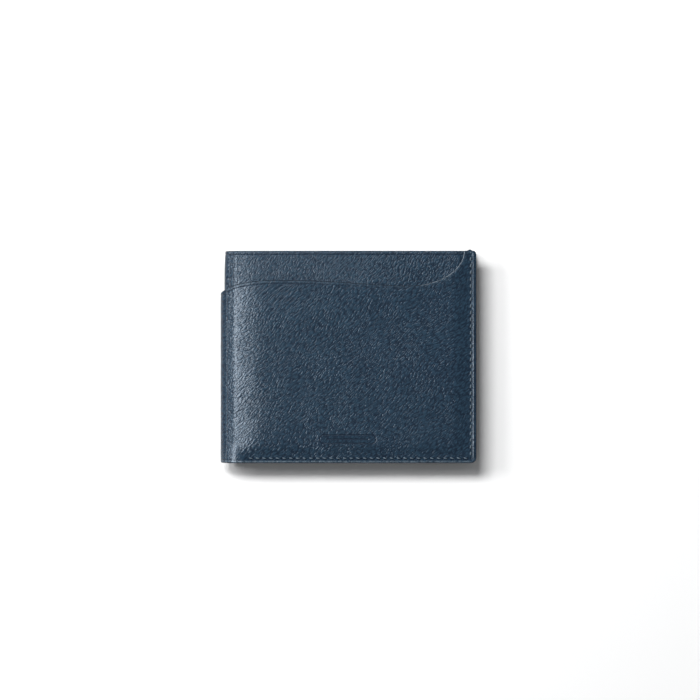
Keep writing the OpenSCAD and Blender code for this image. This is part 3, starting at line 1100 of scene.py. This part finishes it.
@dataclass
class WrappedLayer:
    """A layer that covers both halves and passes round the spine.

    It is made as four pieces: a panel and a strip for each half. The cuts lie half way between the spine's hinge
    lines, so each piece spans one hinge line and both sides of a cut lie on the same strip of the spine.
    """

    lay: Lay
    finishes: Finishes
    name: str
    face: str
    slot: str
    grade: Grade
    rounding: float
    top_drop: float = 0.0
    edge: str = "edge_paint"
    crease: float = 0.0
    crease_inset: float = 1.4
    uneven: float = 0.0
    seam_groove: float = 0.0
    # The near-black edge paint reaches this far onto both faces. Along the outer pocket's mouth it also makes the thin
    # dark line there: partly the edge's own paint, partly painted shadow of the gap under the mouth's edge.
    painted: float = 0.32

    CUT_TURN = 45.0
    CORNER = 2.4

    def outline(self, side: Side) -> Outline:
        """The layer's outline over one half, as far as the cut in the bend."""
        s = self.lay.stack
        left = s.flat_at(self.CUT_TURN)
        if self.name == "outer_pocket":
            return PocketOutline(left, s.free_x, s.low_y, s.horn_y, self.CORNER, 1.7, True, stack=s)
        top = s.cover_y - self.top_drop
        return Outline(left, s.free_x, s.low_y, top, self.CORNER, self.CORNER, True)

    def relief(self, side: Side, x: np.ndarray, y: np.ndarray, outline: Outline) -> np.ndarray:
        """Depth of what is pressed into the outer face.

        A crease follows the mouth at a small distance, as a bell across it that fades out towards the free edge. A
        groove follows the stitches. Soft ripples cover the rest.

        Args:
            side: The half.
            x: Places along the flat.
            y: Places up the flat.
            outline: The layer's outline.

        Returns:
            Extra depth at each place.
        """
        s = self.lay.stack
        depth = np.zeros_like(x)
        if self.crease:
            away = (outline.top(x) - y) / outline.slant(x)
            fade = 1.0 - smooth(x, 10.0, 34.0) if self.name == "outer_pocket" else 1.0
            depth += self.crease * bell(away - self.crease_inset, 0.2) * fade
        if self.seam_groove:
            depth += self.seam_groove * bell(Seam(s, inset=1.8, free_inset=2.1).distance(x, y), 0.36)
            free = bell(s.free_x - x - 1.3, 0.42) * 0.6
            low = bell(y - s.low_y - 0.65, 0.5) * 1.8 * smooth(x, s.bend_x, s.bend_x + 4.0)
            rim = free + low
            depth += 0.3 - 0.3 * np.minimum(rim, 1.0)
        if self.uneven:
            calm = smooth(s.free_x - x, 3.0, 9.0) * smooth(y - s.low_y, 3.0, 9.0)
            along_leather = side.sign * (x - s.bend_x + s.quarter)
            depth += self.uneven * (ripples(along_leather, y, 11, (7.0, 19.0)) * calm * 0.7 + 0.6)
            depth += self.uneven * 0.3 * ripples(along_leather, y, 23, (3.0, 6.0)) * calm
        return np.maximum(depth, 0.0)

    def build(self) -> list[bpy.types.Object]:
        """Builds and dresses the four pieces.

        Returns:
            The pieces.
        """
        made = []
        for side in Side:
            outline = self.outline(side)
            panel = self._piece(side, "panel", panel_skin(outline, self.grade), outline)
            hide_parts(f"{self.name}_{side.value}")
            s = self.lay.stack
            skin = strip_skin(outline, s.flat_at(90.0), s.flat_at(self.CUT_TURN), self.grade)
            strip = self._piece(side, "spine", skin, outline)
            replaced = [f"{self.name}_{side.spine_body}"]
            if side is Side.FRONT:
                replaced.append(f"{self.name}_spine_middle")
            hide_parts(*replaced)
            made += [panel, strip]
        return made

    def _piece(self, side: Side, part: str, skin: Skin, outline: Outline) -> bpy.types.Object:
        """One closed piece of the layer; the line between its two bodies is worked out, but the piece is not bound to
        them.
        """
        x, y = skin.points.T
        outer, inner = self.lay.stack.depths[self.name]
        top = self.lay.depth(x, y, outer) + self.relief(side, x, y, outline)
        solid = sheet_solid(self.lay, side, skin, top, self.lay.depth(x, y, inner), self.rounding, self.painted)
        face = self.face
        if self.name == "outer_pocket" and side is Side.FRONT and part == "panel":
            face = "pocket_front_calf"
        materials = [self.finishes.made[face], self.finishes.made[self.edge]]
        piece = solid.build(f"{self.name}_{side.value}_{part}", materials)
        bodies, turns = (side.half_body, side.spine_body), (0.0, self.CUT_TURN)
        if part == "spine":
            bodies, turns = (side.spine_body, "spine_middle"), (self.CUT_TURN, 90.0)
        start, end = self._bend_line(side, solid.points, np.tile(x, 2), turns)
        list(bodies)
        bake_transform(piece)
        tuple(start)
        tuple(end)
        log.info("%s: %d faces", piece.name, len(solid.quads))
        return piece

    def _bend_line(
        self, side: Side, points: np.ndarray, x: np.ndarray, turns: tuple[float, float]
    ) -> tuple[tuple[float, ...], tuple[float, ...]]:
        """The line along which a piece goes over from one body to the next.

        It runs between the middles of the sections at two turns. It starts where all of the first section is behind
        it and ends before any of the second section.

        Args:
            side: The half.
            points: The piece's points in millimetres.
            x: Their places along the flat.
            turns: The turns of the two sections.

        Returns:
            The start and the end in metres.
        """
        s = self.lay.stack
        depth = sum(s.depths[self.name]) / 2.0
        first, last = (np.array(self.lay.in_bend(side, turn, depth)) / MM for turn in turns)
        way = (last - first) / np.linalg.norm(last - first)
        reach = (points - first) @ way
        near = reach[x > s.flat_at(turns[0]) - 0.01].max()
        far = reach[x < s.flat_at(turns[1]) + 0.01].min()
        return tuple((first + way * near) * MM), tuple((first + way * far) * MM)


@dataclass
class FlatPiece:
    """A piece that lies in one half only: a board, an inner panel or a card pocket."""

    lay: Lay
    finishes: Finishes
    name: str
    face: str
    slot: str
    rounding: float
    edge: str = "edge_paint"
    crease: float = 0.0
    tee: bool = False
    painted: float = 0.12

    def outline(self, side: Side) -> Outline:
        """The piece's outline, from its CAD node's box."""
        low, high = box_mm(f"{self.name}_{side.value}")
        left = max(low[0], self.lay.stack.bend_x)
        if self.tee:
            return TeeOutline(left, high[0], low[1], high[1], 1.0, 1.0, False)
        radius = 0.6 if self.crease else 2.4
        return Outline(left, high[0], low[1], high[1], 2.4, radius, False)

    def build(self) -> list[bpy.types.Object]:
        """Builds and dresses the piece in both halves.

        Returns:
            The two pieces.
        """
        made = []
        for side in Side:
            outline = self.outline(side)
            skin = panel_skin(outline, Grade.INNER)
            x, y = skin.points.T
            outer, inner = self.lay.stack.depths[self.name]
            shown = self.lay.depth(x, y, inner)
            if self.crease:
                shown = shown - self.crease * bell(outline.high - y - 1.5, 0.16)
                shown = shown - 0.16 * bell(Seam(self.lay.stack, inner=True).distance(x, y), 0.4)
            solid = sheet_solid(self.lay, side, skin, self.lay.depth(x, y, outer), shown, self.rounding, self.painted)
            materials = [self.finishes.made[self.face], self.finishes.made[self.edge]]
            piece = solid.build(f"{self.name}_{side.value}_piece", materials)
            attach(piece, side.half_body)
            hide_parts(f"{self.name}_{side.value}")
            log.info("%s: %d faces", piece.name, len(solid.quads))
            made.append(piece)
        return made


@dataclass(frozen=True)
class Seam:
    """The stitch lines of one half."""

    stack: Stack
    inner: bool = False
    inset: float = 2.2
    free_inset: float = 2.6
    spine_inset: float = 3.2
    start: float = 4.2
    pitch: float = 3.0
    inner_drop: float = 5.2
    horn_gap: float = 2.2

    def lines(self) -> list[tuple[np.ndarray, np.ndarray]]:
        """The lines, each from its first to its last point: the bottom, the free edge, and inside the spine side."""
        s = self.stack
        x, y = s.free_x - self.free_inset, s.low_y + self.inset
        top = s.cover_y - self.inner_drop - self.inset if self.inner else s.horn_y - self.horn_gap
        near = s.bend_x + (self.spine_inset if self.inner else self.start)
        lines = [(np.array([near, y]), np.array([x, y])), (np.array([x, y]), np.array([x, top]))]
        if self.inner:
            lines.append((np.array([near, y]), np.array([near, top])))
        return lines

    def distance(self, x: np.ndarray, y: np.ndarray) -> np.ndarray:
        """Distance from places in the flat to the nearest line: along the line it is held to the line's ends."""
        best = np.full_like(x, 1e3)
        for start, end in self.lines():
            run = end - start
            share = np.clip(((x - start[0]) * run[0] + (y - start[1]) * run[1]) / (run @ run), 0.0, 1.0)
            best = np.minimum(best, np.hypot(x - start[0] - share * run[0], y - start[1] - share * run[1]))
        return best


@dataclass
class Stitching:
    """The rows of stitches of the wallet, each stitch a short arch of twisted thread."""

    lay: Lay
    finishes: Finishes
    thread: float = 0.56
    shown: float = 1.85
    slant: float = -14.0
    sunk: float = 0.45
    knot: float = 0.7
    knot_drop: float = 1.35
    groove: float = 0.36
    RINGS = 9
    SIDES = 8

    def build(self) -> list[bpy.types.Object]:
        """Builds the outer and inner rows of both halves.

        Returns:
            The pieces, one for each half's outer rows and one for its inner rows.
        """
        made = []
        for side in Side:
            for inner in (False, True):
                name = f"{'inner' if inner else 'outer'}_stitching_{side.value}"
                solid = self._rows(side, inner)
                piece = solid.build(f"{name}_thread", [self.finishes.made["thread"]])
                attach(piece, side.half_body)
                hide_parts(name)
                log.info("%s: %d faces", piece.name, len(solid.quads))
                made.append(piece)
        return made

    def _rows(self, side: Side, inner: bool) -> Solid:
        """All stitches of one face of a half.

        A stitch's middle line is straight in the flat and turned a little from the row. Over its length it rises out
        of the leather and back as a flattened cosine arch. Its rings are circles across that line that shrink
        towards its ends. An outer row ends at the horn with a short knot.

        Args:
            side: The half.
            inner: Whether these are the rows that show inside.

        Returns:
            The stitches as one solid.
        """
        seam = Seam(self.lay.stack, inner=inner)
        middles, ways = [], []
        for start, end in seam.lines():
            length = float(np.hypot(*(end - start)))
            count = int(length // seam.pitch)
            spare = (length - (count - 1) * seam.pitch) / 2.0
            steps = spare + np.arange(count) * seam.pitch
            way = (end - start) / length
            middles.append(start + steps[:, None] * way)
            ways.append(np.repeat(way[None], count, 0))
        middle, way = np.concatenate(middles), np.concatenate(ways)
        draw = np.random.default_rng(5 + 2 * side.sign + inner)
        lean = np.radians(self.slant + draw.normal(0.0, 2.0, len(middle)))
        way = np.stack([way[:, 0] * np.cos(lean) - way[:, 1] * np.sin(lean),
                        way[:, 0] * np.sin(lean) + way[:, 1] * np.cos(lean)], 1)
        size = self.shown * (1.0 + draw.normal(0.0, 0.03, len(middle)))
        if not inner:
            last = seam.lines()[1][1]
            middle = np.concatenate([middle, [[last[0], self.lay.stack.horn_y - self.knot_drop]]])
            way, size = np.concatenate([way, way[-1:]]), np.append(size, self.knot)
        share = np.linspace(-1.0, 1.0, self.RINGS)
        line = middle[:, None] + way[:, None] * (share[None, :, None] * size[:, None, None] / 2.0)
        across = np.stack([-way[:, 1], way[:, 0]], 1)
        radius = self.thread / 2.0 * (1.0 - 0.5 * share**4)
        arch = np.cos(share * math.pi / 2.0) ** 0.5
        angle = np.linspace(0.0, 2.0 * math.pi, self.SIDES, endpoint=False)
        flat = line[:, :, None] + across[:, None, None] * (radius[:, None] * np.cos(angle))[None, :, :, None]
        face = self._face_depth(seam, inner, line)
        out = 1.0 if inner else -1.0
        height = (arch * self.sunk - self.sunk * 0.7)[None, :, None] + (radius[:, None] * np.sin(angle))[None]
        depth = face[:, :, None] + out * height
        count = len(middle)
        x, y = flat[..., 0].ravel(), flat[..., 1].ravel()
        points = self.lay.place(side, x, y, depth.ravel())
        ids = np.arange(count * self.RINGS * self.SIDES).reshape(count, self.RINGS, self.SIDES)
        around = np.roll(ids, -1, axis=2)
        tubes = np.stack([ids[:, :-1], ids[:, 1:], around[:, 1:], around[:, :-1]], -1).reshape(-1, 4)
        lid = np.array([[0, 1, 2, 3], [0, 3, 4, 7], [4, 5, 6, 7]])
        lids = np.concatenate([ids[:, 0][:, lid].reshape(-1, 4), ids[:, -1][:, lid[:, ::-1]].reshape(-1, 4)])
        quads = np.concatenate([tubes, lids])
        if self._inside_out(points, quads):
            quads = quads[:, ::-1]
        lengths = np.broadcast_to((share * self.shown)[None, :, None], ids.shape)
        turns = np.broadcast_to((angle / (2.0 * math.pi))[None, None], ids.shape)
        map_places = np.stack([lengths.ravel(), turns.ravel()], 1)
        zeros = np.zeros(len(quads))
        return Solid(points, quads, map_places, np.full(len(points), 9.0), zeros, zeros.astype(bool))

    def _face_depth(self, seam: Seam, inner: bool, line: np.ndarray) -> np.ndarray:
        """Depth of the leather's face under the stitches: outside the outer pocket, inside the uppermost pocket."""
        x, y = line[..., 0], line[..., 1]
        depths = self.lay.stack.depths
        if not inner:
            return self.lay.depth(x, y, depths["outer_pocket"][0]) + self.groove
        level = np.full_like(x, depths["inner_panel"][1])
        for name in ("card_pocket_rear", "card_pocket_middle", "card_pocket_front"):
            top = box_mm(f"{name}_back")[1][1]
            level = np.where(y < top, depths[name][1], level)
        deep = self.lay.depth(x, y, 0.0)
        full = self.lay.depth(x, y, self.lay.stack.half)
        return deep + (full - deep) * level / self.lay.stack.half - 0.12

    @staticmethod
    def _inside_out(points: np.ndarray, quads: np.ndarray) -> bool:
        """Whether a closed mesh encloses a negative volume: the sum of its faces' signed cones from the origin."""
        a, b, c, d = (points[quads[:, k]] for k in range(4))
        volume = np.einsum("ij,ij->i", a, np.cross(b, c)) + np.einsum("ij,ij->i", a, np.cross(c, d))
        return bool(volume.sum() < 0.0)


# --------------------------------------------------------------------------- studio


class Role(Enum):
    """What a studio light is for: lighting matt colour and the floor, or drawing the sheen of smooth surfaces."""

    MATT = "matt"
    SHEEN = "sheen"


@dataclass(frozen=True)
class Studio:
    """A pale floor, soft lights from the upper left, and a camera straight above."""

    view_width: float = 312.6
    centre: tuple[float, float] = (0.98, 2.8)
    lens: float = 135.0
    sensor: float = 36.0
    cool: tuple[float, float, float] = (0.88, 1.0, 1.12)
    floor_reach: float = 6.0

    def build(self, stack: Stack) -> None:
        """Builds the floor, the lights and the camera."""
        self._floor()
        self._world()
        self._light("key", Role.MATT, (-0.40, 0.58, 1.1), (0.66, 0.31), 16.5)
        self._light("low", Role.MATT, (-1.3, 0.5, 1.1), (0.5, 0.6), 15.0)
        self._light("sparkle", Role.SHEEN, (-0.40, 0.56, 1.1), (0.60, 0.31), 3.5)
        self._light("band", Role.SHEEN, (-0.86, 0.06, 1.2), (0.76, 0.5), 17.6)
        self._light("brim", Role.SHEEN, (-1.35, 0.1, 0.75), (0.9, 1.2), 1.4)
        self._camera(stack)

    def _floor(self) -> None:
        """A wide pale sheet that the wallet lies on."""
        mesh = bpy.data.meshes.new("floor")
        reach = self.floor_reach
        mesh.from_pydata([(-reach, -reach, 0), (reach, -reach, 0), (reach, reach, 0), (-reach, reach, 0)], [],
                         [(0, 1, 2, 3)])
        floor = bpy.data.objects.new("floor", mesh)
        bpy.context.scene.collection.objects.link(floor)
        shop = Finisher("floor_paper")
        mesh.materials.append(shop.surface(Base_Color=tint(0.94, 0.94, 0.94), Roughness=0.95,
                                           Specular_IOR_Level=0.1))

    def _world(self) -> None:
        """Even pale light from all round."""
        world = bpy.data.worlds.new("studio")
        bpy.context.scene.world = world
        world.use_nodes = True
        ground = world.node_tree.nodes["Background"]
        ground.inputs[0].default_value = tint(0.97, 0.985, 1.0)
        ground.inputs[1].default_value = 0.2

    def _light(
        self, name: str, role: Role, place: tuple[float, float, float], size: tuple[float, float], power: float
    ) -> None:
        """A soft rectangular light that faces the wallet.

        Args:
            name: The light's name.
            role: What the light is for.
            place: Its place in metres.
            size: Its size along x and across it.
            power: Its power in watts.
        """
        data = bpy.data.lights.new(name, "AREA")
        data.shape = "RECTANGLE"
        data.size, data.size_y, data.energy = *size, power
        light = bpy.data.objects.new(name, data)
        bpy.context.scene.collection.objects.link(light)
        light.location = place
        if role is Role.SHEEN:
            data.color = self.cool
        light.visible_glossy = role is Role.SHEEN
        light.visible_diffuse = role is Role.MATT
        back = Vector(place).normalized()
        across = Vector((1.0, 0.0, 0.0)) - back * back.x
        across.normalize()
        light.rotation_euler = Matrix((across, back.cross(across), back)).transposed().to_euler()

    def _camera(self, stack: Stack) -> None:
        """A long lens straight above, as far up as the view's width needs at the wallet's top face."""
        data = bpy.data.cameras.new("camera")
        data.lens, data.sensor_width = self.lens, self.sensor
        data.clip_end = 50.0
        camera = bpy.data.objects.new("camera", data)
        bpy.context.scene.collection.objects.link(camera)
        away = self.view_width * self.lens / self.sensor
        camera.location = Vector((*self.centre, away + 2.0 * stack.half)) * MM
        bpy.context.scene.camera = camera
        bpy.context.scene.view_settings.view_transform = "Standard"


def main() -> None:
    """Builds the wallet, piece by piece, and then the studio."""
    logging.basicConfig(level=logging.INFO, format="%(message)s")
    stack = Stack.measured()
    log.info("stack %s", stack)
    lay = Lay(stack)
    finishes = Finishes(stack).make()
    divider_drop = stack.cover_y - box_mm("note_divider_back")[1][1]
    inner_drop = stack.cover_y - box_mm("inner_lining_back")[1][1]
    layers = [
        WrappedLayer(lay, finishes, "outer_pocket", "pocket_calf", "outer_leather", Grade.SHOWN, 0.42,
                     crease=0.09, uneven=0.02, seam_groove=0.36),
        WrappedLayer(lay, finishes, "cover", "cover_calf", "outer_leather", Grade.SHOWN, 0.35,
                     crease=0.11, crease_inset=1.6, uneven=0.02, painted=0.1),
        WrappedLayer(lay, finishes, "cover_lining", "lining_cloth", "lining", Grade.INNER, 0.1, edge="lining_cloth"),
        WrappedLayer(lay, finishes, "note_divider", "lining_cloth", "lining", Grade.INNER, 0.2,
                     top_drop=divider_drop, edge="lining_cloth"),
        WrappedLayer(lay, finishes, "inner_lining", "lining_cloth", "lining", Grade.INNER, 0.1,
                     top_drop=inner_drop, edge="lining_cloth"),
        FlatPiece(lay, finishes, "cover_board", "fibre_board", "board", 0.12),
        FlatPiece(lay, finishes, "inner_panel", "inner_calf", "inner_leather", 0.25, crease=0.1),
        FlatPiece(lay, finishes, "card_pocket_rear", "inner_calf", "inner_leather", 0.22, crease=0.1, tee=True),
        FlatPiece(lay, finishes, "card_pocket_middle", "inner_calf", "inner_leather", 0.22, crease=0.1, tee=True),
        FlatPiece(lay, finishes, "card_pocket_front", "inner_calf", "inner_leather", 0.25, crease=0.1),
        Stitching(lay, finishes),
    ]
    for layer in layers:
        layer.build()
    Studio().build(stack)


if __name__ == "__main__":
    main()
